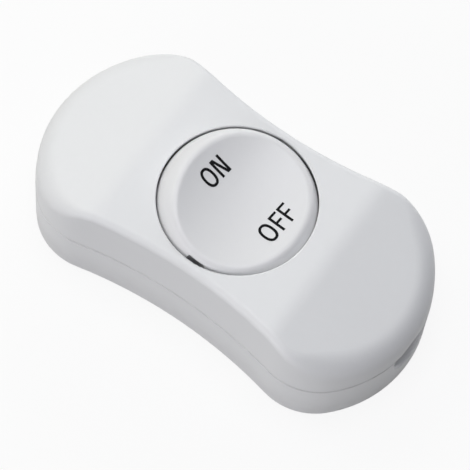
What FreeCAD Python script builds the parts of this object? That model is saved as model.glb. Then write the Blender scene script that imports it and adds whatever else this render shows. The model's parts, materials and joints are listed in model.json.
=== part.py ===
import FreeCAD
import Part

import math
import os

from FreeCAD import Vector

# Inline cord switch with a round rocker button, in millimetres.
# X runs along the housing, Y across it, Z up. The origin is the middle of the flat base.
# The ON side of the button faces -X and the OFF side +X. The switch is modelled switched off.

# Housing outline, seen from above
hole_r = 13.15
side_land = 2.55
waist_depth = 2.4
end_land = 22.25
corner_r = 11.0
corner_setback = 13.9

# Housing heights and walls
lower_height = 10.2
upper_height = 10.2
wall = 1.9
floor_wall = 2.0
roof_wall = 2.0
upper_draft = math.radians(4.5)

# Sloped ends of the roof, and the roundings of the shells
crease_land = 4.35
roof_slope = math.radians(16.0)
crease_blend_r = 10.0
side_round = 1.4
end_round = 4.8
inner_bevel = 1.0
base_bevel = 0.5
seam_bevel = 0.2
opening_round = 0.25

# Lip that locates the shells on each other
lip_height = 1.4
lip_thickness = 0.8
lip_gap = 0.1

# Shadow line along the seam, let into the lower shell
seam_reveal_gap = 0.08
seam_reveal_depth = 0.5

# Round rocker button
pivot_depth = 5.0
tilt = math.radians(9.0)
rim_gap = 0.42
crest_inset = 2.7
crest_height = 2.0
dish_depth = 2.0
dish_side_r = 75.0
crest_round = 1.3
band_drop = 0.3
button_wall = 1.8
button_rim_wall = 2.6
skirt_drop = 2.4

# Button pivot: pins on the button, bearings on the upper housing
pin_r = 1.0
running_gap = 0.05
bearing_half_height = 1.9
bearing_reach = 1.6
groove_gap = 0.5
groove_rise = 0.1
pin_end_gap = 0.2
snap_bite = 0.2
pin_pad_depth = 2.0

# Two switching poles, side by side
pole_y = 6.0
strip_thickness = 0.8
strip_width = 4.0
block_base = 1.2
fulcrum_height = 2.0
fulcrum_r = 0.45
blade_width = 3.8
blade_thickness = 0.8
blade_tilt = math.radians(8.0)
blade_groove_depth = 0.25
idle_arm = 7.6
contact_arm = 6.5
arm_overhang = 1.7
contact_r = 1.35
contact_height = 0.6
rivet_r = 0.6
rivet_head_r = 1.0
rivet_head_height = 0.3
contact_gap = 0.06

# Spring plungers in the button
plunger_r = 1.5
plunger_nose_r = 1.1
plunger_length = 5.9
plunger_cup_r = 1.12
plunger_cup_depth = 2.6
plunger_boss_wall = 0.9
plunger_boss_drop = 5.2
plunger_bore_top = 2.4
plunger_tip_gap = 0.28
spring_wire = 0.3
spring_coil_gap = 0.12
spring_turns = 5
web_thickness = 1.2

# Contact block
chamber_gap = 0.3
block_wall = 1.0
block_gap = 0.1
chamber_height = 5.2
ledge_gap = 0.07
ledge_depth = 1.4
stop_gap = 0.06
stop_half_width = 5.0

# Screw terminals
pillar_length = 5.0
pillar_width = 5.2
pillar_height = 5.8
pillar_y = 8.0
pillar_gap = 0.3
bay_clearance = 0.8
wire_hole_r = 1.3
wire_hole_height = 2.4
terminal_screw_r = 1.2
terminal_screw_length = 3.2
terminal_head_r = 2.1
terminal_head_height = 1.5
terminal_screw_lift = 0.6
barrier_height = 6.6
screw_slot = 0.6

# Cord entries and cord clamps
cord_slot_width = 8.4
cord_slot_height = 7.0
cord_arch_rise = 1.0
cord_arch_drop = 0.6
entry_round = 0.4
collar_depth = 3.4
collar_wall = 1.6
clamp_inset = 7.2
clamp_screw_y = 7.2
clamp_post_r = 2.5
clamp_bar_thickness = 2.2
clamp_lift = 9.6
clamp_rib_r = 0.6
clamp_rib_spacing = 2.4
saddle_height = 1.0
clamp_screw_r = 1.1
clamp_screw_length = 6.0
clamp_head_r = 2.1
clamp_head_height = 1.5
screw_clearance = 0.15

# Screws that close the housing, and the pegs on the other two corners
boss_inset = 11.2
boss_y = 11.8
boss_r = 3.0
counterbore_wall = 1.0
housing_screw_r = 1.4
housing_screw_length = 11.5
housing_head_r = 2.8
housing_head_height = 2.0
head_recess = 0.6
cross_reach = 1.7
cross_depth = 1.2
head_gap = 0.2
boss_meeting = 6.0
peg_r = 1.5
peg_length = 2.4
peg_gap = 0.1

# Levels and places worked out from the sizes above
seam_z = lower_height
rim_z = seam_z - seam_reveal_gap
top_z = lower_height + upper_height
pivot_z = top_z - pivot_depth
half_length = hole_r + end_land
waist_y = hole_r + side_land
half_width = waist_y + waist_depth
corner_x = half_length - corner_setback
corner_y = half_width - corner_r
end_r = (corner_setback**2 + corner_y**2 - corner_r**2) / (2 * (corner_setback - corner_r))
end_x = half_length - end_r
waist_r = (corner_x**2 + (corner_r - waist_depth) ** 2 - corner_r**2) / (2 * waist_depth)
crease_x = hole_r + crease_land
hole_sphere_r = math.hypot(hole_r, pivot_depth)
skirt_r = hole_sphere_r - rim_gap
crest_r = hole_r - crest_inset
groove_r = bearing_reach + groove_gap
bore_r = pin_r + running_gap
strip_z = floor_wall + block_base
strip_top = strip_z + strip_thickness
fulcrum_z = strip_top + fulcrum_height
blade_z = fulcrum_z + blade_groove_depth
blade_top = blade_z + blade_thickness
plunger_bore_r = plunger_r + running_gap
pillar_top = strip_z + pillar_height
cord_slot_r = cord_slot_width / 2
cord_slot_top = seam_z + cord_arch_rise
cord_slot_z = cord_slot_top - cord_slot_height
clamp_x = half_length - clamp_inset
boss_x = half_length - boss_inset
chamber_half_width = blade_width / 2 + chamber_gap
contact_end_x = contact_arm + arm_overhang
chamber_x = contact_end_x + chamber_gap
idle_chamber_x = idle_arm + chamber_gap
# The skirt's edge at full tilt clears the terminal bays
skirt_edge_r = math.sqrt(skirt_r**2 - skirt_drop**2)
bay_x = skirt_r + bay_clearance
pillar_x = bay_x + block_wall + pillar_length / 2
block_end_x = pillar_x + pillar_length / 2 + block_gap
block_half_width = pillar_y + pillar_width / 2 + pillar_gap + block_wall
block_top = strip_z + chamber_height
barrier_top = strip_z + barrier_height


def box(x0, x1, y0, y1, z0, z1):
    return Part.makeBox(x1 - x0, y1 - y0, z1 - z0, Vector(x0, y0, z0))


def post(radius, z0, z1, x=0.0, y=0.0):
    return Part.makeCylinder(radius, z1 - z0, Vector(x, y, z0))


def rod_along_y(radius, y0, y1, x=0.0, z=0.0):
    return Part.makeCylinder(radius, y1 - y0, Vector(x, y0, z), Vector(0, 1, 0))


def rod_along_x(radius, x0, x1, y=0.0, z=0.0):
    return Part.makeCylinder(radius, x1 - x0, Vector(x0, y, z), Vector(1, 0, 0))


def line(a, b):
    return Part.LineSegment(a, b).toShape()


def arc(a, through, b):
    return Part.Arc(a, through, b).toShape()


def revolve(edges):
    """Full turn about Z of a closed profile drawn in the XZ plane."""
    return Part.Face(Part.Wire(edges)).revolve(Vector(0, 0, 0), Vector(0, 0, 1), 360)


def turned(solid, angle, z):
    """Copy of a solid built around the origin, turned about Y and lifted to its pivot."""
    placed = solid.copy()
    placed.rotate(Vector(0, 0, 0), Vector(0, 1, 0), math.degrees(angle))
    placed.translate(Vector(0, 0, z))
    return placed


def end_for_end(solid):
    """Copy turned half round about Z, for the other end of the housing."""
    placed = solid.copy()
    placed.rotate(Vector(0, 0, 0), Vector(0, 0, 1), 180)
    return placed


def mirrored_y(solid):
    return solid.mirror(Vector(0, 0, 0), Vector(0, 1, 0))


def save(name, *solids):
    shape = solids[0] if len(solids) == 1 else Part.makeCompound(list(solids))
    shape.exportStep(f"parts/{name}.step")


# Housing shells

def outline_arc(cx, cy, radius, start, end, z):
    angles = (start, (start + end) / 2, end)
    points = [Vector(cx + radius * math.cos(a), cy + radius * math.sin(a), z) for a in angles]
    return arc(*points)


def outline(inset, z):
    """Housing outline at height z: tangent arcs for the ends, corners and drawn-in sides."""
    end = math.atan2(corner_y, corner_x - end_x)
    side = math.atan2(waist_y + waist_r - corner_y, -corner_x)
    tip_r = end_r - inset
    turn_r = corner_r - inset
    pull_r = waist_r + inset
    pull_y = waist_y + waist_r
    return Part.Wire([
        outline_arc(end_x, 0, tip_r, -end, end, z),
        outline_arc(corner_x, corner_y, turn_r, end, side, z),
        outline_arc(0, pull_y, pull_r, side - math.pi, -side, z),
        outline_arc(-corner_x, corner_y, turn_r, math.pi - side, math.pi - end, z),
        outline_arc(-end_x, 0, tip_r, math.pi - end, math.pi + end, z),
        outline_arc(-corner_x, -corner_y, turn_r, math.pi + end, math.pi + side, z),
        outline_arc(0, -pull_y, pull_r, side, math.pi - side, z),
        outline_arc(corner_x, -corner_y, turn_r, -side, -end, z),
    ])


def prism(inset, z0, z1):
    return Part.Face(outline(inset, z0)).extrude(Vector(0, 0, z1 - z0))


def roof_block(lowered, bottom):
    """Everything under the roof: flat in the middle, with a soft crease to each sloped end."""
    blend = crease_blend_r * math.tan(roof_slope / 2)
    crease = crease_x - lowered * math.tan(roof_slope / 2)
    height = top_z - lowered
    reach = half_length + wall
    flat_end = Vector(crease - blend, 0, height)
    along = Vector(math.cos(roof_slope), 0, -math.sin(roof_slope))
    slope_start = Vector(crease, 0, height) + along * blend
    centre = flat_end - Vector(0, 0, crease_blend_r)
    halfway = Vector(math.sin(roof_slope / 2), 0, math.cos(roof_slope / 2))
    bend = centre + halfway * crease_blend_r
    tip = Vector(reach, 0, height - (reach - crease) * math.tan(roof_slope))
    foot = Vector(reach, 0, bottom)

    def left(point):
        return Vector(-point.x, 0, point.z)

    face = Part.Face(Part.Wire([
        line(left(flat_end), flat_end),
        arc(flat_end, bend, slope_start),
        line(slope_start, tip),
        line(tip, foot),
        line(foot, left(foot)),
        line(left(foot), left(tip)),
        line(left(tip), left(slope_start)),
        arc(left(slope_start), left(bend), left(flat_end)),
    ]))
    face.translate(Vector(0, -half_width - wall, 0))
    return face.extrude(Vector(0, 2 * (half_width + wall), 0))


def bevelled_dome():
    """Hollow of the upper shell: one wall in from the outer form, with bevelled roof edges."""
    solid = dome(wall, roof_wall)
    return solid.makeChamfer(inner_bevel, [edge for edge in solid.Edges if is_roof_edge(edge)])


def round_at(x, small, large):
    """Rounding of the roof's edge: small along the waist, growing round the corners to the ends."""
    start = crease_x + crease_blend_r * math.tan(roof_slope / 2)
    end = end_x + end_r * math.cos(math.atan2(corner_y, corner_x - end_x))
    share = (abs(x) - start) / (end - start)
    return small + (large - small) * min(max(share, 0.0), 1.0)


def dome(inset, lowered):
    """Drafted walls closed by the roof, with sharp edges."""
    above = top_z + wall
    lean = math.tan(upper_draft)
    low = outline(inset, seam_z)
    high = outline(inset + lean * (above - seam_z), above)
    walls = Part.makeLoft([low, high], True, True)
    return walls.common(roof_block(lowered, seam_z - wall)).removeSplitter().Solids[0]


def is_roof_edge(edge):
    """True for an edge between the roof and the walls, not for one that crosses the roof."""
    bounds = edge.BoundBox
    across_roof = bounds.XLength < running_gap and bounds.YLength > hole_r
    return bounds.ZMin > seam_z + wall / 2 and not across_roof


def rounded_dome():
    """Outer form of the upper shell: the roof's edge is rounded by a radius that varies."""
    solid = dome(0, 0)
    edges = []
    for number, edge in enumerate(solid.Edges, 1):
        if is_roof_edge(edge):
            ends = [edge.valueAt(edge.FirstParameter), edge.valueAt(edge.LastParameter)]
            radii = [round_at(point.x, side_round, end_round) for point in ends]
            edges.append((number, *radii))
    document = FreeCAD.newDocument("rounding")
    base = document.addObject("Part::Feature", "base")
    base.Shape = solid
    rounded = document.addObject("Part::Fillet", "rounded")
    rounded.Base = base
    rounded.Edges = edges
    document.recompute()
    result = rounded.Shape.Solids[0].copy()
    FreeCAD.closeDocument(document.Name)
    return result


def edges_at(solid, z):
    """Edges that lie flat at height z on the outside of a shell."""
    return [e for e in solid.Edges if abs(e.BoundBox.ZMin - z) + abs(e.BoundBox.ZMax - z) < running_gap]


def cord_slot():
    """Cord entry through the +X end wall: round below, with a low arch in the upper shell."""
    x0 = half_length - collar_depth - wall
    centre_z = cord_slot_z + cord_slot_r
    shoulder_z = seam_z - cord_arch_drop
    near_low = Vector(x0, -cord_slot_r, centre_z)
    far_low = Vector(x0, cord_slot_r, centre_z)
    near_high = Vector(x0, -cord_slot_r, shoulder_z)
    far_high = Vector(x0, cord_slot_r, shoulder_z)
    face = Part.Face(Part.Wire([
        arc(near_low, Vector(x0, 0, cord_slot_z), far_low),
        line(far_low, far_high),
        arc(far_high, Vector(x0, 0, cord_slot_top), near_high),
        line(near_high, near_low),
    ]))
    return face.extrude(Vector(collar_depth + 2 * wall, 0, 0))


def entry_collar(x1):
    """Thickened wall round the cord entry, from the floor up to the lip."""
    outer_r = cord_slot_r + collar_wall
    x0 = half_length - collar_depth
    return box(x0, x1, -outer_r, outer_r, floor_wall / 2, seam_z - lip_height - lip_gap)


def is_mouth_edge(edge):
    """True for an edge between the cord entry and the outside of the end wall."""
    bounds = edge.BoundBox
    widest = max(abs(bounds.YMin), abs(bounds.YMax))
    within = widest < cord_slot_r + running_gap and bounds.ZMin > cord_slot_z - running_gap
    return within and bounds.XMin > half_length - wall


def entry_mouth():
    """Cutter for the cord entry in the lower shell, with a bell mouth that is easy on the cord."""
    x0 = half_length - collar_depth - wall
    top = seam_z + wall
    span = cord_slot_r + collar_wall + entry_round
    block = prism(0, 0, top).common(box(x0, half_length, -span, span, 0, top))
    centre_z = cord_slot_z + cord_slot_r
    slot = rod_along_x(cord_slot_r, x0 - wall, half_length + wall, 0, centre_z)
    above = box(x0 - wall, half_length + wall, -cord_slot_r, cord_slot_r, centre_z, top + wall)
    mouth = block.cut(slot.fuse(above)).removeSplitter().Solids[0]
    mouth = mouth.makeFillet(entry_round, [edge for edge in mouth.Edges if is_mouth_edge(edge)])
    return block.cut(mouth)


def clamp_posts():
    posts = []
    for y in (-clamp_screw_y, clamp_screw_y):
        pilot_z = clamp_lift - clamp_screw_length
        body = post(clamp_post_r, floor_wall / 2, clamp_lift, clamp_x, y)
        posts.append(body.cut(post(clamp_screw_r, pilot_z, clamp_lift, clamp_x, y)))
    return posts


def cord_saddles():
    """Two low ribs under the cord clamp that grip the cord from below."""
    saddles = []
    for x in (clamp_x - clamp_rib_spacing / 2, clamp_x + clamp_rib_spacing / 2):
        rib = box(x - clamp_rib_r, x + clamp_rib_r, -clamp_screw_y, clamp_screw_y,
                  floor_wall / 2, floor_wall + saddle_height)
        saddles.append(rib)
    return saddles


def lower_screw_boss(x, y):
    wide = post(housing_head_r + head_gap + counterbore_wall, floor_wall / 2,
                head_recess + housing_head_height + counterbore_wall, x, y)
    return wide.fuse(post(boss_r, floor_wall / 2, boss_meeting, x, y))


def lower_screw_hole(x, y):
    seat = head_recess + housing_head_height
    bore = post(housing_head_r + head_gap, -wall, seat, x, y)
    return bore.fuse(post(housing_screw_r + screw_clearance, -wall, boss_meeting + wall, x, y))


def peg_socket(x, y):
    return post(peg_r + peg_gap, boss_meeting - peg_length - peg_gap, boss_meeting + wall, x, y)


def block_locators():
    """Low ribs on the floor that hold the contact block lengthwise."""
    ribs = []
    for side in (-1, 1):
        near = block_end_x + block_gap
        xs = sorted((side * near, side * (near + block_wall)))
        ribs.append(box(xs[0], xs[1], -pillar_y, pillar_y, floor_wall / 2, floor_wall + block_base))
    return ribs


def lower_housing():
    shell = prism(0, 0, rim_z)
    shell = shell.makeChamfer(base_bevel, edges_at(shell, 0))
    shell = shell.makeChamfer(seam_bevel, edges_at(shell, rim_z))
    shell = shell.fuse(prism(seam_reveal_depth, rim_z - wall, seam_z))
    inside = prism(wall, floor_wall, seam_z + wall)
    rebate = prism(wall - lip_thickness - lip_gap, seam_z - lip_height - lip_gap, seam_z + wall)
    shell = shell.cut(inside.fuse(rebate))
    end_parts = clamp_posts() + cord_saddles() + [entry_collar(half_length - wall / 2)]
    added = end_parts + [end_for_end(part) for part in end_parts] + block_locators()
    added += [lower_screw_boss(boss_x, -boss_y), lower_screw_boss(-boss_x, boss_y)]
    added += [post(boss_r, floor_wall / 2, boss_meeting, x, y)
              for x, y in ((boss_x, boss_y), (-boss_x, -boss_y))]
    shell = shell.fuse(added)
    removed = [entry_mouth(), end_for_end(entry_mouth())]
    removed += [lower_screw_hole(boss_x, -boss_y), lower_screw_hole(-boss_x, boss_y)]
    removed += [peg_socket(boss_x, boss_y), peg_socket(-boss_x, -boss_y)]
    return shell.cut(removed).removeSplitter().Solids[0]


def button_well():
    """Space for the button: straight up to the pivot, then drawn in to the round opening."""
    straight = post(hole_sphere_r, seam_z - wall, pivot_z)
    drawn_in = Part.makeCone(hole_sphere_r, hole_r, pivot_depth, Vector(0, 0, pivot_z))
    opening = post(hole_r, pivot_z, top_z + wall)
    return straight.fuse([drawn_in, opening])


def bearing(shape):
    """Post that hangs in the button's groove and takes its pivot pin."""
    rib = post(bearing_reach, pivot_z - bearing_half_height, pivot_z + bearing_half_height,
               0, hole_sphere_r)
    rib = rib.common(shape)
    blind_y = hole_sphere_r - pin_end_gap / 2
    bore = rod_along_y(bore_r, hole_r - bearing_reach - wall, blind_y, 0, pivot_z)
    slot_half = bore_r - snap_bite
    lead_in = box(-slot_half, slot_half, hole_r - bearing_reach - wall, blind_y,
                  pivot_z - bearing_half_height - wall, pivot_z)
    return rib, bore.fuse(lead_in)


def opening_edges(shell):
    """Edge of the round opening, up on the flat of the roof."""
    edges = []
    for edge in edges_at(shell, top_z):
        bounds = edge.BoundBox
        if max(abs(bounds.YMin), abs(bounds.YMax)) < hole_r + running_gap:
            edges.append(edge)
    return edges


def roof_posts(shape):
    """Screw bosses, peg bosses and hold-down ribs that hang from the roof."""
    hanging = []
    for x, y in ((boss_x, -boss_y), (-boss_x, boss_y), (boss_x, boss_y), (-boss_x, -boss_y)):
        above = post(boss_r, seam_z, top_z, x, y).common(shape)
        hanging.append(above.fuse(post(boss_r, boss_meeting, seam_z, x, y)))
    rib_y = (pillar_width / 2 + pole_y - strip_width / 2) / 2
    for side in (-1, 1):
        for y in (-rib_y, rib_y):
            rib = box(side * pillar_x - pillar_length / 4, side * pillar_x + pillar_length / 4,
                      y - block_wall / 2, y + block_wall / 2, barrier_top, top_z)
            inner = box(-half_length, half_length, -half_width, half_width, barrier_top, seam_z)
            hanging.append(rib.common(shape.fuse(inner)))
    return hanging


def upper_housing():
    outer = rounded_dome()
    bevelled = outer.makeChamfer(seam_bevel, edges_at(outer, seam_z))
    inside = bevelled_dome()
    lip_outer = prism(wall - lip_thickness, seam_z - lip_height, seam_z + wall / 2)
    lip = lip_outer.cut(prism(wall, seam_z - wall, seam_z + wall))
    shell = bevelled.cut(inside).fuse(lip)
    shell = shell.cut([button_well(), cord_slot(), end_for_end(cord_slot())])
    shell = shell.makeFillet(opening_round, opening_edges(shell))
    rib, bore = bearing(outer)
    bearings = [rib, mirrored_y(rib)]
    bores = [bore, mirrored_y(bore)]
    shell = shell.fuse(bearings + roof_posts(outer))
    pilot_top = head_recess + housing_head_height + housing_screw_length
    pilots = [post(housing_screw_r, boss_meeting - wall, pilot_top, x, y)
              for x, y in ((boss_x, -boss_y), (-boss_x, boss_y))]
    shell = shell.cut(bores + pilots)
    pegs = [post(peg_r, boss_meeting - peg_length, boss_meeting, x, y)
            for x, y in ((boss_x, boss_y), (-boss_x, -boss_y))]
    return shell.fuse(pegs).removeSplitter().Solids[0]


# Rocker button

def button_dome():
    """Undished button, about its pivot: flat top, round band and ball skirt that run into each other."""
    band_z = pivot_depth - band_drop
    band = Vector(math.sqrt(skirt_r**2 - band_z**2), 0, band_z)
    out = Vector(band.x, 0, band.z).normalize()
    crest = Vector(crest_r, 0, pivot_depth + crest_height)
    reach = crest.dot(out)
    band_r = (crest.dot(crest) + skirt_r**2 - 2 * skirt_r * reach) / (2 * (skirt_r - reach))
    centre = out * (skirt_r - band_r)
    top = centre + Vector(0, 0, band_r)
    half_way = centre + (out + Vector(0, 0, 1)).normalize() * band_r
    edge = Vector(skirt_edge_r, 0, -skirt_drop)
    foot = Vector(0, 0, -skirt_drop)
    middle = Vector(0, 0, top.z)
    return revolve([
        line(middle, top),
        arc(top, half_way, band),
        arc(band, Vector(skirt_r, 0, 0), edge),
        line(edge, foot),
        line(foot, middle),
    ])


def dish_scoop():
    """Cutter for the button's dish: rounder along the housing than across it."""
    dish_r = (crest_r**2 + dish_depth**2) / (2 * dish_depth)
    bottom_z = pivot_depth + crest_height - dish_depth
    side_z = bottom_z + dish_r - math.sqrt(dish_r**2 - hole_r**2)
    left = Vector(-hole_r, 0, side_z)
    right = Vector(hole_r, 0, side_z)
    face = Part.Face(Part.Wire([arc(left, Vector(0, 0, bottom_z), right), line(right, left)]))
    swing = math.degrees(math.atan2(hole_r + wall, dish_side_r - crest_height))
    axle = Vector(0, 0, bottom_z + dish_side_r)
    face.rotate(axle, Vector(1, 0, 0), -swing)
    return face.revolve(axle, Vector(1, 0, 0), 2 * swing)


def button_skin():
    """Solid of the button's outer form, with its rim rounded."""
    solid = button_dome().cut(dish_scoop()).removeSplitter().Solids[0]
    rim = [edge for edge in solid.Edges if edge.BoundBox.ZMin > pivot_depth]
    return solid.makeFillet(crest_round, rim)


def button_hollow():
    """Space under the button's skin: straight sides and a ceiling that rises under the crest."""
    ceiling_z = pivot_depth + crest_height - dish_depth - button_wall
    inner_r = skirt_edge_r - button_wall
    middle = Vector(0, 0, ceiling_z)
    step = Vector(crest_r / 2, 0, ceiling_z)
    rim = Vector(crest_r - button_wall / 2, 0, pivot_depth + crest_height - button_rim_wall)
    shoulder = Vector(inner_r, 0, pivot_depth - button_rim_wall)
    below = Vector(inner_r, 0, -skirt_drop - wall)
    foot = Vector(0, 0, below.z)
    return revolve([
        line(middle, step),
        line(step, rim),
        line(rim, shoulder),
        line(shoulder, below),
        line(below, foot),
        line(foot, middle),
    ])


def plunger_boss(skin, y):
    radius = plunger_bore_r + plunger_boss_wall
    inside = post(radius, 0, pivot_depth + crest_height, 0, y).common(skin)
    return inside.fuse(post(radius, -plunger_boss_drop, 0, 0, y))


def rocker_button():
    skin = button_skin()
    shell = skin.cut(button_hollow())
    groove_y = hole_sphere_r
    pad_y = groove_y - groove_r - pin_pad_depth
    pad = box(-groove_r - groove_gap, groove_r + groove_gap, pad_y, skirt_r, -skirt_drop, pivot_depth)
    pad = pad.common(skin)
    web = box(-web_thickness / 2, web_thickness / 2, -pole_y, pole_y, 0, pivot_depth).common(skin)
    bosses = [plunger_boss(skin, -pole_y), plunger_boss(skin, pole_y)]
    shell = shell.fuse([pad, mirrored_y(pad), web] + bosses)
    groove = post(groove_r, -skirt_drop - wall, pivot_depth + groove_rise, 0, groove_y)
    bores = [post(plunger_bore_r, -plunger_boss_drop - wall, plunger_bore_top, 0, y)
             for y in (-pole_y, pole_y)]
    shell = shell.cut([groove, mirrored_y(groove)] + bores)
    pin = rod_along_y(pin_r, pad_y + pin_pad_depth / 2, groove_y - pin_end_gap)
    return shell.fuse([pin, mirrored_y(pin)]).removeSplitter().Solids[0]


# Plungers and their springs, drawn about the button's pivot

def plunger_nose_z():
    """Height of the nose's centre that leaves the tip gap over the blade at rest."""
    drop = (pivot_z - blade_top) * math.cos(blade_tilt) - plunger_nose_r - plunger_tip_gap
    return -drop / math.cos(tilt + blade_tilt)


def plunger(y):
    nose_z = plunger_nose_z()
    taper_z = nose_z + (plunger_r - plunger_nose_r)
    top = nose_z + plunger_length - plunger_nose_r
    shank = post(plunger_r, taper_z, top, 0, y)
    taper = Part.makeCone(plunger_nose_r, plunger_r, taper_z - nose_z, Vector(0, y, nose_z))
    nose = Part.makeSphere(plunger_nose_r, Vector(0, y, nose_z))
    cup = post(plunger_cup_r, top - plunger_cup_depth, top + wall, 0, y)
    return shank.fuse([taper, nose]).removeSplitter().cut(cup).Solids[0]


def plunger_spring(y):
    """Coil spring from the plunger's cup to the top of the bore."""
    half = spring_wire / 2
    coil_r = plunger_cup_r - spring_coil_gap - half
    seat = plunger_nose_z() + plunger_length - plunger_nose_r - plunger_cup_depth
    z0 = seat + half + running_gap
    z1 = plunger_bore_top - half - running_gap
    path = Part.makeHelix((z1 - z0) / spring_turns, z1 - z0, coil_r)
    corners = [Vector(coil_r + x, 0, z) for x, z in
               ((-half, -half), (half, -half), (half, half), (-half, half))]
    section = Part.Wire([line(a, b) for a, b in zip(corners, corners[1:] + corners[:1])])
    coil = Part.Wire(path).makePipeShell([section], True, True).Solids[0]
    coil.translate(Vector(0, y, z0))
    return coil


# See-saw contact blades, drawn about the fulcrum's rounded top

def blade_pivot_offset():
    return blade_z - fulcrum_z


def contact_bridge(y):
    z0 = blade_pivot_offset()
    blade = box(-idle_arm, contact_end_x, y - blade_width / 2, y + blade_width / 2,
                z0, z0 + blade_thickness)
    corners = [e for e in blade.Edges if e.BoundBox.ZLength > blade_thickness / 2]
    blade = blade.makeFillet(blade_width / 4, corners)
    groove = rod_along_y(fulcrum_r + running_gap, y - blade_width, y + blade_width)
    hole = post(rivet_r, z0 - wall, z0 + blade_thickness + wall, contact_arm, y)
    return blade.cut([groove, hole]).Solids[0]


def bridge_contact(y):
    z0 = blade_pivot_offset()
    face = post(contact_r, z0 - contact_height, z0, contact_arm, y)
    shank = post(rivet_r, z0, z0 + blade_thickness, contact_arm, y)
    head = post(rivet_head_r, z0 + blade_thickness, z0 + blade_thickness + rivet_head_height,
                contact_arm, y)
    return face.fuse([shank, head]).removeSplitter()


def fixed_contact(y):
    """Contact on the inlet strip, just clear of the blade's contact when switched on."""
    low_z = blade_pivot_offset() - contact_height
    reach = contact_arm + contact_r
    closed_z = fulcrum_z + low_z * math.cos(blade_tilt) - reach * math.sin(blade_tilt)
    face = post(contact_r, strip_top, closed_z - contact_gap, contact_arm, y)
    shank = post(rivet_r, strip_z, strip_top, contact_arm, y)
    return face.fuse(shank).removeSplitter()


# Terminals

def pillar(x, y):
    """Clamp pillar with a wire hole along X and a screw hole from above."""
    body = box(x - pillar_length / 2, x + pillar_length / 2, y - pillar_width / 2,
               y + pillar_width / 2, strip_z, pillar_top)
    tall = [e for e in body.Edges if e.BoundBox.ZLength > pillar_height / 2]
    return body.makeFillet(block_wall / 2, tall)


def pillar_holes(x, y):
    wire_z = strip_z + wire_hole_height
    wire = rod_along_x(wire_hole_r, x - pillar_length, x + pillar_length, y, wire_z)
    return wire.fuse(post(terminal_screw_r, wire_z, pillar_top + wall, x, y))


def inlet_terminal(side):
    """Strip from the pillar at the +X end to the fixed contact."""
    y = side * pole_y
    strip = box(contact_arm - contact_r - rivet_r, pillar_x, y - strip_width / 2,
                y + strip_width / 2, strip_z, strip_top)
    solid = strip.fuse(pillar(pillar_x, side * pillar_y))
    rivet_hole = post(rivet_r, strip_z - wall, strip_top + wall, contact_arm, y)
    return solid.cut([pillar_holes(pillar_x, side * pillar_y), rivet_hole]).removeSplitter().Solids[0]


def outlet_terminal(side):
    """Strip from the pillar at the -X end to the fulcrum that carries the blade."""
    y = side * pole_y
    strip = box(-pillar_x, fulcrum_r, y - strip_width / 2, y + strip_width / 2, strip_z, strip_top)
    half_blade = blade_width / 2
    upright = box(-fulcrum_r, fulcrum_r, y - half_blade, y + half_blade, strip_top, fulcrum_z)
    crown = rod_along_y(fulcrum_r, y - half_blade, y + half_blade, 0, fulcrum_z)
    solid = strip.fuse([upright, crown, pillar(-pillar_x, side * pillar_y)])
    return solid.cut(pillar_holes(-pillar_x, side * pillar_y)).removeSplitter().Solids[0]


def earth_terminal():
    strip = box(-pillar_x, pillar_x, -strip_width / 2, strip_width / 2, strip_z, strip_top)
    solid = strip.fuse([pillar(-pillar_x, 0), pillar(pillar_x, 0)])
    return solid.cut([pillar_holes(-pillar_x, 0), pillar_holes(pillar_x, 0)]).removeSplitter().Solids[0]


def slotted_screw(x, y, seat, shank_r, length, head_r, head_height):
    """Cheese-head screw standing on its seat, with its slot along X."""
    shank = post(shank_r, seat - length, seat, x, y)
    head = post(head_r, seat, seat + head_height, x, y)
    screw = shank.fuse(head).removeSplitter()
    slot = box(x - 2 * head_r, x + 2 * head_r, y - screw_slot / 2, y + screw_slot / 2,
               seat + head_height / 2, seat + head_height + wall)
    return screw.cut(slot).Solids[0]


def terminal_screws():
    places = [(x, y) for x in (-pillar_x, pillar_x) for y in (-pillar_y, 0, pillar_y)]
    seat = pillar_top + terminal_screw_lift
    return [slotted_screw(x, y, seat, terminal_screw_r, terminal_screw_length,
                          terminal_head_r, terminal_head_height) for x, y in places]


# Contact block

def strip_way(x0, x1, y, width):
    """Passage for a strip through the block's walls."""
    half = width / 2 + block_gap
    return box(x0, x1, y - half, y + half, strip_z, strip_top + block_gap)


def chamber(y):
    return box(-idle_chamber_x, chamber_x, y - chamber_half_width, y + chamber_half_width,
               strip_z, block_top + wall)


def idle_ledge(y):
    """Ledge that the blade's idle arm lies on when the switch is off."""
    inner = idle_arm - ledge_depth / 2
    under = blade_pivot_offset() * math.cos(blade_tilt) - idle_arm * math.sin(blade_tilt)
    return box(-idle_chamber_x - block_wall / 2, -inner, y - chamber_half_width,
               y + chamber_half_width, strip_top + block_gap, fulcrum_z + under - ledge_gap)


def stop_wall(side):
    """Wall under the button's skirt that ends its tilt."""
    mid_r = skirt_edge_r - button_wall / 2
    x = mid_r * math.cos(tilt) - skirt_drop * math.sin(tilt)
    lowest = skirt_edge_r * math.sin(tilt) + skirt_drop * math.cos(tilt)
    xs = sorted((side * (x - block_wall / 2), side * (x + block_wall / 2)))
    return box(xs[0], xs[1], -stop_half_width, stop_half_width, strip_z, pivot_z - lowest - stop_gap)


def terminal_bay(side):
    """Barriers between the terminals at one end, joined by a cross wall."""
    xs = sorted((side * bay_x, side * block_end_x))
    barrier_y = (pillar_width / 2 + pole_y - strip_width / 2) / 2
    outer_y = block_half_width - block_wall / 2
    walls = [box(xs[0], xs[1], y - block_wall / 2, y + block_wall / 2, strip_z, barrier_top)
             for y in (-outer_y, -barrier_y, barrier_y, outer_y)]
    near = sorted((side * bay_x, side * (bay_x + block_wall - block_gap)))
    walls.append(box(near[0], near[1], -outer_y, outer_y, strip_z, barrier_top))
    return walls


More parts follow.
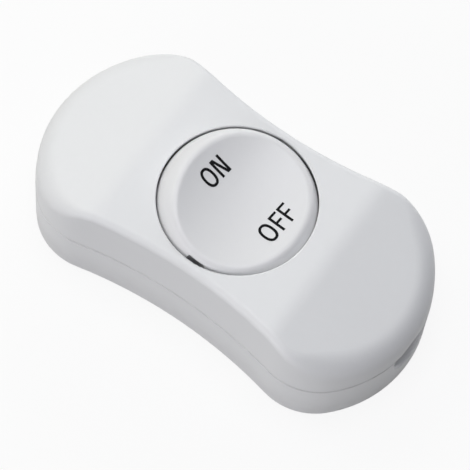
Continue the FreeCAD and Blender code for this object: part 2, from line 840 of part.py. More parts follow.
def contact_block():
    base = box(-block_end_x, block_end_x, -block_half_width, block_half_width,
               floor_wall, strip_z)
    tub_y = pole_y + chamber_half_width + block_wall
    tub = box(-idle_chamber_x - block_wall, chamber_x + block_wall, -tub_y, tub_y, strip_z, block_top)
    middle_y = pole_y - chamber_half_width - block_wall
    middle = box(-idle_chamber_x, chamber_x, -middle_y, middle_y, strip_z, block_top + wall)
    tub = tub.cut([chamber(-pole_y), chamber(pole_y), middle])
    walls = [tub, stop_wall(-1), stop_wall(1)] + terminal_bay(-1) + terminal_bay(1)
    walls += [idle_ledge(-pole_y), idle_ledge(pole_y)]
    block = base.fuse(walls)
    ways = [strip_way(-block_end_x, block_end_x, 0, strip_width)]
    for y in (-pole_y, pole_y):
        ways.append(strip_way(-block_end_x, block_end_x, y, strip_width))
    corners = [post(housing_head_r + head_gap + counterbore_wall + screw_clearance, 0, top_z, x, y)
               for x in (-boss_x, boss_x) for y in (-boss_y, boss_y)]
    return block.cut(ways + corners).removeSplitter().Solids[0]


# Cord clamps and the screws

def cord_clamp():
    """Bar with round ends and two gripping ribs underneath."""
    top = clamp_lift + clamp_bar_thickness
    ends = [post(clamp_post_r, clamp_lift, top, clamp_x, y) for y in (-clamp_screw_y, clamp_screw_y)]
    bar = box(clamp_x - clamp_post_r, clamp_x + clamp_post_r, -clamp_screw_y, clamp_screw_y,
              clamp_lift, top)
    rib_y = clamp_screw_y - clamp_post_r - screw_clearance
    ribs = [rod_along_y(clamp_rib_r, -rib_y, rib_y, x, clamp_lift)
            for x in (clamp_x - clamp_rib_spacing / 2, clamp_x + clamp_rib_spacing / 2)]
    solid = bar.fuse(ends + ribs)
    holes = [post(clamp_screw_r + screw_clearance, clamp_lift - wall, top + wall, clamp_x, y)
             for y in (-clamp_screw_y, clamp_screw_y)]
    return solid.cut(holes).removeSplitter().Solids[0]


def cord_clamp_screws():
    seat = clamp_lift + clamp_bar_thickness
    return [slotted_screw(x, y, seat, clamp_screw_r, clamp_screw_length,
                          clamp_head_r, clamp_head_height)
            for x in (-clamp_x, clamp_x) for y in (-clamp_screw_y, clamp_screw_y)]


def housing_screw(x, y):
    """Screw driven up from below, with a cross recess in its head."""
    seat = head_recess + housing_head_height
    shank = post(housing_screw_r, seat, seat + housing_screw_length, x, y)
    head = post(housing_head_r, head_recess, seat, x, y)
    screw = shank.fuse(head).removeSplitter()
    half = screw_slot / 2
    recess_top = head_recess + cross_depth
    cross = box(x - cross_reach, x + cross_reach, y - half, y + half, 0, recess_top)
    cross = cross.fuse(box(x - half, x + half, y - cross_reach, y + cross_reach, 0, recess_top))
    return screw.cut(cross).Solids[0]


os.makedirs("parts", exist_ok=True)

save("lower_housing", lower_housing())
save("upper_housing", upper_housing())
save("rocker_button", turned(rocker_button(), tilt, pivot_z))
save("contact_block", contact_block())
for pole, side in (("live", -1), ("neutral", 1)):
    y = side * pole_y
    save(f"{pole}_inlet_terminal", inlet_terminal(side))
    save(f"{pole}_outlet_terminal", outlet_terminal(side))
    save(f"{pole}_contact_bridge", turned(contact_bridge(y), -blade_tilt, fulcrum_z))
    save(f"{pole}_bridge_contact", turned(bridge_contact(y), -blade_tilt, fulcrum_z))
    save(f"{pole}_plunger", turned(plunger(y), tilt, pivot_z))
    save(f"{pole}_plunger_spring", turned(plunger_spring(y), tilt, pivot_z))
save("fixed_contacts", fixed_contact(-pole_y), fixed_contact(pole_y))
save("earth_terminal", earth_terminal())
save("terminal_screws", *terminal_screws())
save("inlet_cord_clamp", cord_clamp())
save("outlet_cord_clamp", end_for_end(cord_clamp()))
save("cord_clamp_screws", *cord_clamp_screws())
save("housing_screws", housing_screw(boss_x, -boss_y), housing_screw(-boss_x, boss_y))
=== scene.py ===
import json
import math

import bpy
from mathutils import Matrix, Vector

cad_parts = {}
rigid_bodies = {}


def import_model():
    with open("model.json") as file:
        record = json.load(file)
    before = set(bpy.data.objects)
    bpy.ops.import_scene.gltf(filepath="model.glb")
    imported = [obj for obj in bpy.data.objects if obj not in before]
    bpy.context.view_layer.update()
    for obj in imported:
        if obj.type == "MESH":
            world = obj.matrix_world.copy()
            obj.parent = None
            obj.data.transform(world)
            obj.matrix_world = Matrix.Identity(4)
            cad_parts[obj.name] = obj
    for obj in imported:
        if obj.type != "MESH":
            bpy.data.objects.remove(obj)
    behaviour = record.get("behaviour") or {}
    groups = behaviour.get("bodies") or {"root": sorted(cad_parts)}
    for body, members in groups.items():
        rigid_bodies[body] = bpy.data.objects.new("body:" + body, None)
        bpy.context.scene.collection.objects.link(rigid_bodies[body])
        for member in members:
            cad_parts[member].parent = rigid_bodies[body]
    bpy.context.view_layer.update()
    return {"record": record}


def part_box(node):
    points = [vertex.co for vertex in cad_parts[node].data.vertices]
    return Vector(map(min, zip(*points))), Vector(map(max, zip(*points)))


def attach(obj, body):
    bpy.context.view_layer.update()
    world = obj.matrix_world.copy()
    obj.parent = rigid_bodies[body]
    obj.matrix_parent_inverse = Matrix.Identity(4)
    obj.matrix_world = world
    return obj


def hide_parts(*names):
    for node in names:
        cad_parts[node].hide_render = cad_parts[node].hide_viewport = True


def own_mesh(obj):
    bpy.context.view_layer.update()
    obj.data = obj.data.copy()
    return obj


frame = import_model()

# Sizes are in metres, apart from those said to be in millimetres. X runs along the switch,
# and the OFF side of the button faces +X.
MM = 0.001

# Camera, fitted to the housing's outline in the picture. The target is the point half way up
# the housing, and its pixel is counted from the picture's upper left corner.
VIEW_AZIMUTH = math.radians(27.88)
VIEW_ELEVATION = math.radians(65.85)
VIEW_ROLL = math.radians(7.58)
VIEW_DISTANCE = 0.4662
VIEW_CLIP = (0.01, 20)
PIXELS_PER_METRE = 6083.0
IMAGE_SIZE = 470
SENSOR_MM = 36.0
MIDDLE_PIXEL = (IMAGE_SIZE - 1) / 2
TARGET_PIXEL = (233.70, 224.83)

# Seam between the housing's shells, and the distance of the poles and of the fixed contacts
# from the middle
SEAM_HEIGHT = 10.2 * MM
POLE_SPACING = 6.0 * MM
CONTACT_REACH = 6.5 * MM

# Button: pivot, tilt at rest, the dish in its top and the crest of its raised rim
PIVOT_HEIGHT = 15.4 * MM
BUTTON_TILT = math.radians(9.0)
DISH_BOTTOM = 5.0 * MM
DISH_RADIUS_ALONG = 28.30 * MM
DISH_RADIUS_ACROSS = 75.0 * MM
CREST_HEIGHT = 6.6 * MM

# Spans over which painted shade starts or ends: away from the seam, up from the base, out to the
# face of the button's skirt, and up its raised and its sunk side
SEAM_SHADE_SPAN = (0.10 * MM, 0.46 * MM)
BASE_SHADE_SPAN = (0.5 * MM, 8.5 * MM)
SKIRT_REACH = (12.8 * MM, 13.1 * MM)
RAISED_SIDE = (20.0 * MM, 20.5 * MM)
SUNK_SIDE = (18.6 * MM, 19.6 * MM)

# Printed words, in millimetres on the dish. Each place is the middle of the word's O,
# and the other letters' left edges are counted from it.
LETTER_HEIGHT = 3.32
LETTER_STROKE = 0.45
N_WIDTH = 2.06
F_TOP_ARM = 1.76
F_LOW_ARM = 1.54
ROUND_LETTER_POWER = 2.35
ROUND_LETTER_POINTS = 56
PRINT_TURN = math.radians(4.8)
PRINT_RISE = 0.035 * MM
PRINT_DEPTH = 0.06 * MM
PRINT_WELD = 0.001 * MM
PRINT_DIVISIONS = 3
ON_PLACE = (-6.50, -0.16)
ON_ROUND_SIZE = (2.30, 3.45)
ON_NEXT_LEFT = 1.68
OFF_PLACE = (6.41, -1.74)
OFF_ROUND_SIZE = (2.43, 3.43)
OFF_NEXT_LEFT = (1.82, 3.92)

# Plunger springs in millimetres. The foot is counted from the button's pivot.
SPRING_TURNS = 8.0
COIL_RADIUS = 0.85
WIRE_RADIUS = 0.15
SPRING_FOOT = -4.80
SPRING_LENGTH = 7.0
SPRING_TURN_POINTS = 28
WIRE_SIDES = 12

# Lowest thread turn of each screw, in millimetres
TERMINAL_SCREWS = [(x, y, 6.5) for x in (-17.95, 17.95) for y in (-8.0, 0.0, 8.0)]
CLAMP_SCREWS = [(x, y, 6.0) for x in (-28.2, 28.2) for y in (-7.2, 7.2)]
HOUSING_SCREWS = [(24.2, -11.8, 6.3), (-24.2, 11.8, 6.3)]

# Threads in millimetres: name, screws, shank radius, pitch and length
THREAD_DEPTH = 0.14
THREAD_TURN_POINTS = 20
THREAD_SIDES = 4
THREADS = (
    ("terminal_screw_threads", TERMINAL_SCREWS, 1.17, 0.50, 2.8),
    ("clamp_screw_threads", CLAMP_SCREWS, 1.07, 0.80, 3.6),
    ("housing_screw_threads", HOUSING_SCREWS, 1.36, 1.00, 7.4),
)

# Studio. The floor lies a hair under the base, so that their faces don't share a plane.
# Each lamp is a soft box turned to the switch: name, way, width, power and tint.
FLOOR_REACH = 4.0
FLOOR_HEIGHT = -0.02 * MM
FLOOR_GLOW = 0.88
WALL_MIRRORED = 0.3
COOL = (0.975, 0.988, 1.035)
PLAIN = (1.0, 0.99, 1.01)
WARM = (1.03, 1.03, 0.94)
LAMP_DISTANCE = 0.8
LAMP_HEIGHT = 0.5
LAMPS = (
    ("top_lamp", (0, 0, 1), 0.5, 2.80, COOL),
    ("on_side_lamp", (-1, 0, 0.9), 0.5, 1.62, WARM),
    ("back_left_lamp", (-0.7, 0.7, 0.6), 0.5, 1.15, WARM),
    ("near_high_lamp", (0, -1, 0.9), 0.5, 0.60, COOL),
    ("near_low_lamp", (-0.08, -1, 0.25), 1.0, 3.05, PLAIN),
    ("far_low_lamp", (-0.08, 1, 0.4), 1.0, 2.60, COOL),
)


# Nodes

class Value:
    """A node's output. Sums written with it add Math nodes."""

    def __init__(self, graph, socket):
        self.graph = graph
        self.socket = socket

    def math(self, operation, *terms):
        return self.graph.node("ShaderNodeMath", {"operation": operation}, dict(enumerate(terms)))

    def __add__(self, other):
        return self.math("ADD", self, other)

    def __radd__(self, other):
        return self.math("ADD", other, self)

    def __sub__(self, other):
        return self.math("SUBTRACT", self, other)

    def __rsub__(self, other):
        return self.math("SUBTRACT", other, self)

    def __mul__(self, other):
        return self.math("MULTIPLY", self, other)

    def __rmul__(self, other):
        return self.math("MULTIPLY", other, self)

    def __truediv__(self, other):
        return self.math("DIVIDE", self, other)

    def sqrt(self):
        return self.math("SQRT", self)

    def sine(self):
        return self.math("SINE", self)

    def size(self):
        return self.math("ABSOLUTE", self)

    def greater(self, other):
        return self.math("MAXIMUM", self, other)

    def less(self, other):
        return self.math("MINIMUM", self, other)

    def ramp(self, low, high):
        """0 below low, 1 above high, and smooth between them."""
        return self.graph.node("ShaderNodeMapRange", {"interpolation_type": "SMOOTHSTEP"},
                               {"Value": self, "From Min": low, "From Max": high})


class Graph:
    """A node tree, filled by one method."""

    def __init__(self, tree):
        self.tree = tree
        self.tree.nodes.clear()

    def node(self, kind, settings, sockets, output=0):
        """Add a node: its settings first, then the values or links of its sockets."""
        made = self.tree.nodes.new(kind)
        for name, setting in settings.items():
            setattr(made, name, setting)
        for key, value in sockets.items():
            for term in value if isinstance(value, list) else [value]:
                if isinstance(term, Value):
                    self.tree.links.new(term.socket, made.inputs[key])
                else:
                    made.inputs[key].default_value = term
        return Value(self, made.outputs[output]) if made.outputs else None

    def place(self):
        return self.node("ShaderNodeTexCoord", {}, {}, "Object")

    def axes(self, vector):
        """The three numbers of a vector."""
        first = self.node("ShaderNodeSeparateXYZ", {}, {0: vector})
        return [Value(self, socket) for socket in first.socket.node.outputs]

    def vector(self, x, y, z):
        return self.node("ShaderNodeCombineXYZ", {}, {0: x, 1: y, 2: z})

    def stretch(self, scale):
        return self.node("ShaderNodeMapping", {}, {"Vector": self.place(), "Scale": scale})

    def noise(self, scale, detail=2.0, vector=None):
        sockets = {"Vector": vector or self.place(), "Scale": scale, "Detail": detail}
        return self.node("ShaderNodeTexNoise", {}, sockets)

    def cells(self, scale):
        return self.node("ShaderNodeTexVoronoi", {}, {"Vector": self.place(), "Scale": scale})

    def blend(self, share, start, end):
        """Colour between two colours."""
        sockets = {0: share, 6: start, 7: end}
        return self.node("ShaderNodeMix", {"data_type": "RGBA"}, sockets, 2)


def paint(red, green, blue, strength=1.0):
    return (red * strength, green * strength, blue * strength, 1.0)


def finish(colour, roughness, height, bump_distance, constants):
    """Material from a graph's colour, roughness and bump height."""
    graph = colour.graph
    bump = graph.node("ShaderNodeBump", {}, {"Height": height, "Distance": bump_distance})
    sockets = {"Base Color": colour, "Roughness": roughness, "Normal": bump}
    shader = graph.node("ShaderNodeBsdfPrincipled", {}, {**sockets, **constants})
    graph.node("ShaderNodeOutputMaterial", {}, {"Surface": shader})
    return graph.material


def new_graph(name):
    material = bpy.data.materials.new(name)
    material.use_nodes = True
    graph = Graph(material.node_tree)
    graph.material = material
    return graph


# Finishes

PLASTIC_IOR = 1.5

# Scales of the lines left by rolling along X and by turning about Z
LONG_DRAW = (260.0, 5200.0, 5200.0)
ROUND_DRAW = (1500.0, 1500.0, 9500.0)


def moulded_white(name, tint, polish):
    """Colour, roughness and grain of white moulded plastic with faint clouds and a soft shine."""
    graph = new_graph(name)
    cloud = graph.noise(75.0, 3.0)
    mottle = graph.noise(900.0, 2.0)
    grain = graph.noise(5200.0, 2.0)
    dimples = graph.cells(3400.0).ramp(0.0, 0.7)
    shade = cloud * 0.7 + mottle * 0.3
    colour = graph.blend(shade, paint(*tint, 0.975), paint(*tint, 1.02))
    roughness = polish + (mottle - 0.5) * 0.10 + (cloud - 0.5) * 0.08
    return colour, roughness, grain * 0.6 + dimples * 0.4


def housing_finish(name):
    """Housing plastic, with shade painted along the seam and towards the base."""
    tint = (0.795, 0.800, 0.812)
    colour, roughness, height = moulded_white(name, tint, 0.42)
    graph = colour.graph
    z = graph.axes(graph.place())[2]
    # Painted shade: the colour is darkened in patches along the seam and towards the base
    near_seam = 1.0 - (z - SEAM_HEIGHT).size().ramp(*SEAM_SHADE_SPAN)
    near_base = 1.0 - z.ramp(*BASE_SHADE_SPAN)
    patchy = graph.noise(420.0, 3.0).ramp(0.25, 0.75)
    painted_shade = near_seam * (0.14 + patchy * 0.32) + near_base * (0.14 + patchy * 0.10)
    colour = graph.blend(painted_shade, colour, paint(0.46, 0.45, 0.45))
    roughness = roughness + painted_shade * 0.3
    return finish(colour, roughness, height, 0.004 * MM, {"IOR": PLASTIC_IOR})


def button_finish(name):
    """Button plastic, rubbed smoother on its raised rim, with shade painted at the foot of its
    skirt and low on its sunk side.
    """
    tint = (0.785, 0.785, 0.797)
    colour, roughness, height = moulded_white(name, tint, 0.38)
    graph = colour.graph
    x, y, z = graph.axes(graph.place())
    away = (x * x + y * y).sqrt()
    # Painted shade: the colour is darkened where the skirt sinks below the housing's top and low on
    # the sunk side
    skirt = away.ramp(*SKIRT_REACH) * (1.0 - z.ramp(*RAISED_SIDE))
    sunk = 1.0 - z.ramp(*SUNK_SIDE)
    painted_shade = skirt.greater(sunk) * 0.5
    colour = graph.blend(painted_shade, colour, paint(0.30, 0.29, 0.29))
    # Height over the pivot along the tilted button's own axis
    up = x * math.sin(BUTTON_TILT) + (z - PIVOT_HEIGHT) * math.cos(BUTTON_TILT)
    rim = up.ramp(CREST_HEIGHT - 0.8 * MM, CREST_HEIGHT + 0.4 * MM)
    rubbed = rim * graph.noise(240.0, 3.0).ramp(0.2, 0.8)
    rows = graph.stretch((900.0, 14000.0, 4000.0))
    scuffs = graph.noise(1.0, 2.0, rows).ramp(0.62, 0.80)
    roughness = roughness - rubbed * 0.10 + scuffs * 0.05
    height = height - scuffs * 0.15
    return finish(colour, roughness, height, 0.003 * MM, {"IOR": PLASTIC_IOR})


def block_finish(name):
    """Insulating moulding, dull ivory with dark flecks of filler and coarse grain."""
    graph = new_graph(name)
    cloud = graph.noise(160.0, 4.0)
    flecks = graph.cells(2600.0).ramp(0.10, 0.22)
    grain = graph.noise(3800.0, 4.0)
    base = graph.blend(cloud, paint(0.60, 0.55, 0.45), paint(0.70, 0.65, 0.55))
    colour = graph.blend(flecks, paint(0.44, 0.39, 0.31), base)
    roughness = 0.52 + grain * 0.16
    return finish(colour, roughness, grain, 0.008 * MM, {"IOR": 1.55})


def clamp_finish(name):
    """Tough white plastic of the cord clamps, slightly waxy."""
    graph = new_graph(name)
    cloud = graph.noise(220.0, 3.0)
    grain = graph.noise(4200.0, 3.0)
    colour = graph.blend(cloud, paint(0.62, 0.62, 0.60), paint(0.72, 0.72, 0.70))
    roughness = 0.45 + cloud * 0.12
    return finish(colour, roughness, grain, 0.006 * MM, {"IOR": 1.53})


def metal_finish(name, clean, tarnished, polish, tarnish_share, draw, streak_depth):
    """Bare metal: lines left by rolling or turning, and patches of tarnish."""
    graph = new_graph(name)
    streaks = graph.noise(1.0, 3.0, graph.stretch(draw))
    patches = graph.noise(330.0, 4.0).ramp(0.70 - tarnish_share, 0.86 - tarnish_share * 0.5)
    specks = 1.0 - graph.cells(2100.0).ramp(0.05, 0.16)
    stain = (patches * 0.75 + specks * 0.35).less(1.0)
    colour = graph.blend(stain, paint(*clean), paint(*tarnished))
    roughness = polish + (streaks - 0.5) * 0.16 + stain * 0.14
    return finish(colour, roughness, streaks, streak_depth, {"Metallic": 1.0})


def contact_finish(name):
    """Silver contact faces, dished by use, with fine turned rings about each rivet."""
    graph = new_graph(name)
    x, y = graph.axes(graph.place())[:2]
    off_x = x - CONTACT_REACH
    off_y = y.size() - POLE_SPACING
    away = (off_x * off_x + off_y * off_y).sqrt()
    rings = (away * 42000.0).sine()
    pits = 1.0 - graph.cells(5200.0).ramp(0.08, 0.30)
    worn = (1.0 - away.ramp(0.25 * MM, 1.0 * MM)) * pits
    colour = graph.blend(worn, paint(0.88, 0.87, 0.83), paint(0.34, 0.30, 0.26))
    roughness = 0.26 + worn * 0.30 + graph.noise(700.0, 3.0) * 0.12
    height = rings * 0.3 - worn
    return finish(colour, roughness, height, 0.004 * MM, {"Metallic": 1.0})


def ink_finish(name):
    """Pad-printed ink: near black, matt with little shine, thinner and greyer in spots."""
    graph = new_graph(name)
    thin = graph.noise(2600.0, 3.0).ramp(0.35, 0.85)
    edge = graph.noise(9000.0, 2.0)
    colour = graph.blend(thin, paint(0.004, 0.004, 0.005), paint(0.012, 0.012, 0.013))
    roughness = 0.66 + thin * 0.18
    return finish(colour, roughness, edge, 0.002 * MM, {"IOR": 1.22})


FINISHES = {
    "housing_white": housing_finish("housing white"),
    "button_white": button_finish("button white"),
    "block_plastic": block_finish("contact block ivory"),
    "clamp_plastic": clamp_finish("clamp white"),
    "terminal_brass": metal_finish("stamped terminal brass", (0.78, 0.60, 0.31), (0.42, 0.27, 0.12),
                                   0.30, 0.18, LONG_DRAW, 0.006 * MM),
    "plunger_brass": metal_finish("turned plunger brass", (0.83, 0.66, 0.36), (0.50, 0.34, 0.15),
                                  0.22, 0.10, ROUND_DRAW, 0.004 * MM),
    "blade_copper": metal_finish("rolled blade copper", (0.83, 0.49, 0.31), (0.38, 0.17, 0.10),
                                 0.27, 0.20, LONG_DRAW, 0.005 * MM),
    "contact_silver": contact_finish("contact silver"),
    "spring_steel": metal_finish("drawn spring steel", (0.60, 0.60, 0.61), (0.30, 0.29, 0.28),
                                 0.24, 0.08, ROUND_DRAW, 0.002 * MM),
    "screw_steel": metal_finish("zinc plated screws", (0.68, 0.69, 0.71), (0.52, 0.50, 0.40),
                                0.31, 0.16, ROUND_DRAW, 0.005 * MM),
}
INK = ink_finish("button ink")


def dress_nodes():
    """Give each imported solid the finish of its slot."""
    for row in frame["record"]["subparts"]:
        for holder in bpy.data.objects[row["node"]].material_slots:
            holder.material = FINISHES[row["material_slot"]]


# Geometry Nodes

def node_group(name, inputs):
    """New geometry tree with named inputs, as its graph and a value for each input."""
    tree = bpy.data.node_groups.new(name, "GeometryNodeTree")
    graph = Graph(tree)
    for title, kind in (("Geometry", "Geometry"), *inputs):
        tree.interface.new_socket(title, in_out="INPUT", socket_type=f"NodeSocket{kind}")
    tree.interface.new_socket("Geometry", in_out="OUTPUT", socket_type="NodeSocketGeometry")
    first = graph.node("NodeGroupInput", {}, {})
    outputs = first.socket.node.outputs
    return graph, {socket.name: Value(graph, socket) for socket in outputs if socket.name}


def close_group(graph, geometry, material):
    """End a geometry tree with real faces that wear the material."""
    solid = graph.node("GeometryNodeRealizeInstances", {}, {"Geometry": geometry})
    dressed = graph.node("GeometryNodeSetMaterial", {}, {"Geometry": solid, "Material": material})
    graph.node("NodeGroupOutput", {}, {0: dressed})
    return graph.tree


def grow(name, data, tree, settings):
    """Run a geometry tree on base data and keep the result as a plain mesh object."""
    base = bpy.data.objects.new(name + "_base", data)
    bpy.context.scene.collection.objects.link(base)
    modifier = base.modifiers.new("grow", "NODES")
    modifier.node_group = tree
    sockets = {s.name: s.identifier for s in tree.interface.items_tree if s.in_out == "INPUT"}
    for title, setting in settings.items():
        modifier[sockets[title]] = setting
    ready = base.evaluated_get(bpy.context.evaluated_depsgraph_get())
    mesh = bpy.data.meshes.new_from_object(ready)
    base.modifiers.remove(modifier)
    bpy.data.objects.remove(base)
    mesh.name = name
    piece = bpy.data.objects.new(name, mesh)
    bpy.context.scene.collection.objects.link(piece)
    return piece


def seat_on_pivot(graph, geometry, tilt, height):
    """Turn geometry drawn about the button's pivot to its place at rest."""
    return graph.node("GeometryNodeTransform", {}, {
        "Geometry": geometry, "Translation": graph.vector(0.0, 0.0, height),
        "Rotation": graph.vector(0.0, tilt, 0.0)})


def print_tree():
    """Fill flat outlines, give them thickness and lay them on the button's dish."""
    graph, given = node_group("print on the dish", (
        ("Radius along", "Float"), ("Radius across", "Float"), ("Dish bottom", "Float"),
        ("Rise", "Float"), ("Depth", "Float"), ("Tilt", "Float"), ("Pivot height", "Float"),
        ("Ink", "Material"),
    ))
    flat = graph.node("GeometryNodeFillCurve", {"mode": "TRIANGLES"}, {"Curve": given["Geometry"]})
    flat = graph.node("GeometryNodeSubdivideMesh", {}, {
        "Mesh": flat, "Level": PRINT_DIVISIONS})
    up = graph.vector(0.0, 0.0, 1.0)
    raised = graph.node("GeometryNodeExtrudeMesh", {"mode": "FACES"}, {
        "Mesh": flat, "Offset": up, "Offset Scale": given["Depth"], "Individual": False})
    under = graph.node("GeometryNodeFlipFaces", {}, {"Mesh": flat})
    both = graph.node("GeometryNodeJoinGeometry", {}, {"Geometry": [raised, under]})
    closed = graph.node("GeometryNodeMergeByDistance", {}, {
        "Geometry": both, "Distance": PRINT_WELD})
    x, y, z = graph.axes(graph.node("GeometryNodeInputPosition", {}, {}))
    along, across = given["Radius along"], given["Radius across"]
    reach = across - along + (along * along - x * x).sqrt()
    dish = given["Dish bottom"] + across - (reach * reach - y * y).sqrt()
    spot = graph.vector(x, y, dish + z + given["Rise"] - given["Depth"])
    laid = graph.node("GeometryNodeSetPosition", {}, {"Geometry": closed, "Position": spot})
    seated = seat_on_pivot(graph, laid, given["Tilt"], given["Pivot height"])
    return close_group(graph, seated, given["Ink"])


def coil_tree():
    """Round wire wound into a compression spring whose end turns lie closed."""
    graph, given = node_group("closed end coil", (
        ("Turns", "Float"), ("Coil radius", "Float"), ("Wire radius", "Float"), ("Foot", "Float"),
        ("Length", "Float"), ("Side", "Float"), ("Tilt", "Float"), ("Pivot height", "Float"),
        ("Steel", "Material"),
    ))
    path = graph.node("GeometryNodeCurveSpiral", {}, {
        "Resolution": SPRING_TURN_POINTS, "Rotations": given["Turns"],
        "Start Radius": given["Coil radius"], "End Radius": given["Coil radius"],
        "Height": 1.0, "Reverse": False})
    x, y, share = graph.axes(graph.node("GeometryNodeInputPosition", {}, {}))
    # The pitch is one wire thick at both ends and widest half way
    closed = 1.0 - 2.0 * given["Wire radius"] * given["Turns"] / given["Length"]
    swing = (share * math.tau).sine() * closed / math.tau
    rise = given["Foot"] + (share - swing) * given["Length"]
    spot = graph.vector(x, y + given["Side"], rise)
    path = graph.node("GeometryNodeSetPosition", {}, {"Geometry": path, "Position": spot})
    wire = graph.node("GeometryNodeCurvePrimitiveCircle", {}, {
        "Resolution": WIRE_SIDES, "Radius": given["Wire radius"]})
    coil = graph.node("GeometryNodeCurveToMesh", {}, {
        "Curve": path, "Profile Curve": wire, "Fill Caps": True})
    seated = seat_on_pivot(graph, coil, given["Tilt"], given["Pivot height"])
    return close_group(graph, seated, given["Steel"])


def thread_tree():
    """Screw thread wound once round a shank and set on every point of the base mesh."""
    graph, given = node_group("thread on every screw", (
        ("Shank radius", "Float"), ("Pitch", "Float"), ("Depth", "Float"), ("Length", "Float"),
        ("Steel", "Material"),
    ))
    path = graph.node("GeometryNodeCurveSpiral", {}, {
        "Resolution": THREAD_TURN_POINTS, "Rotations": given["Length"] / given["Pitch"],
        "Start Radius": given["Shank radius"], "End Radius": given["Shank radius"],
        "Height": given["Length"], "Reverse": False})
    ridge = graph.node("GeometryNodeCurvePrimitiveCircle", {}, {
        "Resolution": THREAD_SIDES, "Radius": given["Depth"]})
    thread = graph.node("GeometryNodeCurveToMesh", {}, {
        "Curve": path, "Profile Curve": ridge, "Fill Caps": True})
    many = graph.node("GeometryNodeInstanceOnPoints", {}, {
        "Points": given["Geometry"], "Instance": thread})
    return close_group(graph, many, given["Steel"])


# Printed words

def round_letter(size):
    """Outline and counter of an O about its own middle, as two loops."""
    loops = []
    for inset in (0.0, LETTER_STROKE):
        loop = []
        for step in range(ROUND_LETTER_POINTS):
            angle = math.tau * step / ROUND_LETTER_POINTS
            c, s = math.cos(angle), math.sin(angle)
            u = math.copysign(abs(c) ** (2 / ROUND_LETTER_POWER), c) * (size[0] / 2 - inset)
            v = math.copysign(abs(s) ** (2 / ROUND_LETTER_POWER), s) * (size[1] / 2 - inset)
            loop.append((u, v))
        loops.append(loop)
    return loops


def straight_letter(corners, left):
    return [[(left + u, v - LETTER_HEIGHT / 2) for u, v in corners]]


def letter_n(left):
    height, stroke, width = LETTER_HEIGHT, LETTER_STROKE, N_WIDTH
    joint = stroke * 0.6
    slant = stroke * 1.05
    run = width - slant - 2 * joint
    notch = height * (stroke - joint) / run
    return straight_letter([
        (0, 0), (stroke, 0), (stroke, height - notch), (joint + run, 0), (width, 0),
        (width, height), (width - stroke, height), (width - stroke, notch),
        (joint + slant, height), (0, height),
    ], left)


def letter_f(left):
    height, stroke, arm, short_arm = LETTER_HEIGHT, LETTER_STROKE, F_TOP_ARM, F_LOW_ARM
    bar = stroke * 0.92
    low = height * 0.45
    return straight_letter([
        (0, 0), (stroke, 0), (stroke, low), (short_arm, low), (short_arm, low + bar),
        (stroke, low + bar), (stroke, height - bar), (arm, height - bar), (arm, height),
        (0, height),
    ], left)


def print_word(name, place, loops, tree):
    """Lay a word's outlines flat about the button's axis and run the print tree on them."""
    data = bpy.data.curves.new(name, "CURVE")
    data.dimensions = "3D"
    right = Vector((math.sin(PRINT_TURN), math.cos(PRINT_TURN)))
    up = Vector((-math.cos(PRINT_TURN), math.sin(PRINT_TURN)))
    for loop in loops:
        spline = data.splines.new("POLY")
        spline.points.add(len(loop) - 1)
        spline.use_cyclic_u = True
        for point, (u, v) in zip(spline.points, loop):
            spot = (Vector(place) + right * u + up * v) * MM
            point.co = (spot.x, spot.y, 0.0, 1.0)
    piece = grow(name, data, tree, {
        "Radius along": DISH_RADIUS_ALONG, "Radius across": DISH_RADIUS_ACROSS,
        "Dish bottom": DISH_BOTTOM, "Rise": PRINT_RISE, "Depth": PRINT_DEPTH,
        "Tilt": BUTTON_TILT, "Pivot height": PIVOT_HEIGHT, "Ink": INK})
    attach(piece, "rocker")


def print_words():
    tree = print_tree()
    print_word("on_lettering", ON_PLACE, round_letter(ON_ROUND_SIZE) + letter_n(ON_NEXT_LEFT), tree)
    off = round_letter(OFF_ROUND_SIZE)
    for left in OFF_NEXT_LEFT:
        off += letter_f(left)
    print_word("off_lettering", OFF_PLACE, off, tree)


# Springs and threads

def wind_springs():
    """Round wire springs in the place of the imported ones, pressed shorter by their plungers."""
    tree = coil_tree()
    for pole, side in (("live", -1), ("neutral", 1)):
        node = f"{pole}_plunger_spring"
        base = bpy.data.meshes.new(node)
        piece = grow(f"{pole}_coil_spring", base, tree, {
            "Turns": SPRING_TURNS, "Coil radius": COIL_RADIUS * MM,
            "Wire radius": WIRE_RADIUS * MM, "Foot": SPRING_FOOT * MM,
            "Length": SPRING_LENGTH * MM, "Side": side * POLE_SPACING,
            "Tilt": BUTTON_TILT, "Pivot height": PIVOT_HEIGHT, "Steel": FINISHES["spring_steel"]})
        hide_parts(node)
        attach(piece, "rocker")
        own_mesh(piece)


def cut_threads():
    """Threads on the screws' shanks, one piece for each kind of screw."""
    tree = thread_tree()
    for name, feet, radius, pitch, length in THREADS:
        base = bpy.data.meshes.new(name)
        base.from_pydata([Vector(foot) * MM for foot in feet], [], [])
        piece = grow(name, base, tree, {
            "Shank radius": radius * MM, "Pitch": pitch * MM, "Depth": THREAD_DEPTH * MM,
            "Length": length * MM, "Steel": FINISHES["screw_steel"]})
        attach(piece, "housing")


# Studio

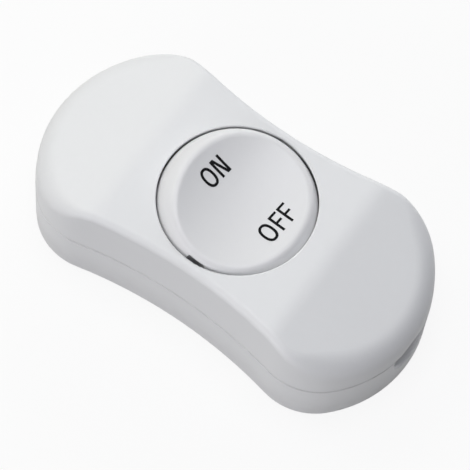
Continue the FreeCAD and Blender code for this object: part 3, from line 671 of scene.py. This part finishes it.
def make_camera():
    """Camera at the picture's viewing angle, aimed so that the switch lies where it does there."""
    target = Vector((0, 0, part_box("upper_housing")[1][2] / 2))
    back = Vector((
        math.sin(VIEW_AZIMUTH) * math.cos(VIEW_ELEVATION),
        -math.cos(VIEW_AZIMUTH) * math.cos(VIEW_ELEVATION),
        math.sin(VIEW_ELEVATION),
    ))
    level = Vector((math.cos(VIEW_AZIMUTH), math.sin(VIEW_AZIMUTH), 0))
    upright = back.cross(level)
    right = math.cos(VIEW_ROLL) * level + math.sin(VIEW_ROLL) * upright
    up = math.cos(VIEW_ROLL) * upright - math.sin(VIEW_ROLL) * level
    data = bpy.data.cameras.new("camera")
    data.sensor_width = SENSOR_MM
    data.lens = PIXELS_PER_METRE * VIEW_DISTANCE / IMAGE_SIZE * SENSOR_MM
    data.clip_start, data.clip_end = VIEW_CLIP
    camera = bpy.data.objects.new("camera", data)
    bpy.context.scene.collection.objects.link(camera)
    across = (MIDDLE_PIXEL - TARGET_PIXEL[0]) / PIXELS_PER_METRE
    along = (TARGET_PIXEL[1] - MIDDLE_PIXEL) / PIXELS_PER_METRE
    place = target + back * VIEW_DISTANCE
    back = (place - target - right * across - up * along).normalized()
    right = up.cross(back).normalized()
    turn = Matrix((right, back.cross(right), back)).transposed().to_4x4()
    camera.matrix_world = Matrix.Translation(place) @ turn
    bpy.context.scene.camera = camera


def seen_directly(graph, mirrored):
    """1 for what the camera sees, mirrored in a reflection and 0 for light on the switch."""
    seen = graph.node("ShaderNodeLightPath", {}, {}, "Is Camera Ray")
    rays = {socket.name: Value(graph, socket) for socket in seen.socket.node.outputs}
    return seen.greater(rays["Is Glossy Ray"].greater(rays["Is Transmission Ray"]) * mirrored)


def floor_finish(name):
    """Pale paper. Seen directly it is nearly white and keeps part of the switch's shadow."""
    graph = new_graph(name)
    direct = seen_directly(graph, 1.0)
    fibres = graph.noise(900.0, 3.0)
    white = graph.blend(fibres, paint(0.78, 0.78, 0.78), paint(0.82, 0.82, 0.82))
    colour = graph.blend(direct, paint(0.32, 0.32, 0.32), white)
    paper = graph.node("ShaderNodeBsdfPrincipled", {}, {"Base Color": colour, "Roughness": 0.5})
    glow = graph.node("ShaderNodeEmission", {}, {"Color": (1, 1, 1, 1), "Strength": 1.0})
    mix = graph.node("ShaderNodeMixShader", {}, {0: direct * FLOOR_GLOW, 1: paper, 2: glow})
    graph.node("ShaderNodeOutputMaterial", {}, {"Surface": mix})
    return graph.material


def make_floor():
    signs = ((-1, -1), (1, -1), (1, 1), (-1, 1))
    corners = [(x * FLOOR_REACH, y * FLOOR_REACH, FLOOR_HEIGHT) for x, y in signs]
    mesh = bpy.data.meshes.new("floor")
    mesh.from_pydata(corners, [], [(0, 1, 2, 3)])
    mesh.materials.append(floor_finish("pale paper"))
    floor = bpy.data.objects.new("floor", mesh)
    bpy.context.scene.collection.objects.link(floor)


def soft_box(name, way, width, power, tint):
    data = bpy.data.lights.new(name, "AREA")
    data.shape = "RECTANGLE"
    data.size = width
    data.size_y = LAMP_HEIGHT
    data.energy = power
    data.color = tint
    lamp = bpy.data.objects.new(name, data)
    bpy.context.scene.collection.objects.link(lamp)
    lamp.location = Vector(way).normalized() * LAMP_DISTANCE
    lamp.rotation_euler = (-lamp.location).to_track_quat("-Z", "Y").to_euler()


def light_studio():
    for lamp in LAMPS:
        soft_box(*lamp)
    world = bpy.data.worlds.new("studio")
    bpy.context.scene.world = world
    world.use_nodes = True
    graph = Graph(world.node_tree)
    # Dimmer in reflections, or the pale top would mirror it white from low angles
    wall = graph.node("ShaderNodeBackground", {}, {
        "Color": (1, 1, 1, 1), "Strength": seen_directly(graph, WALL_MIRRORED)})
    graph.node("ShaderNodeOutputWorld", {}, {"Surface": wall})
    bpy.context.scene.view_settings.view_transform = "Standard"


make_camera()
make_floor()
light_studio()
dress_nodes()
print_words()
wind_springs()
cut_threads()
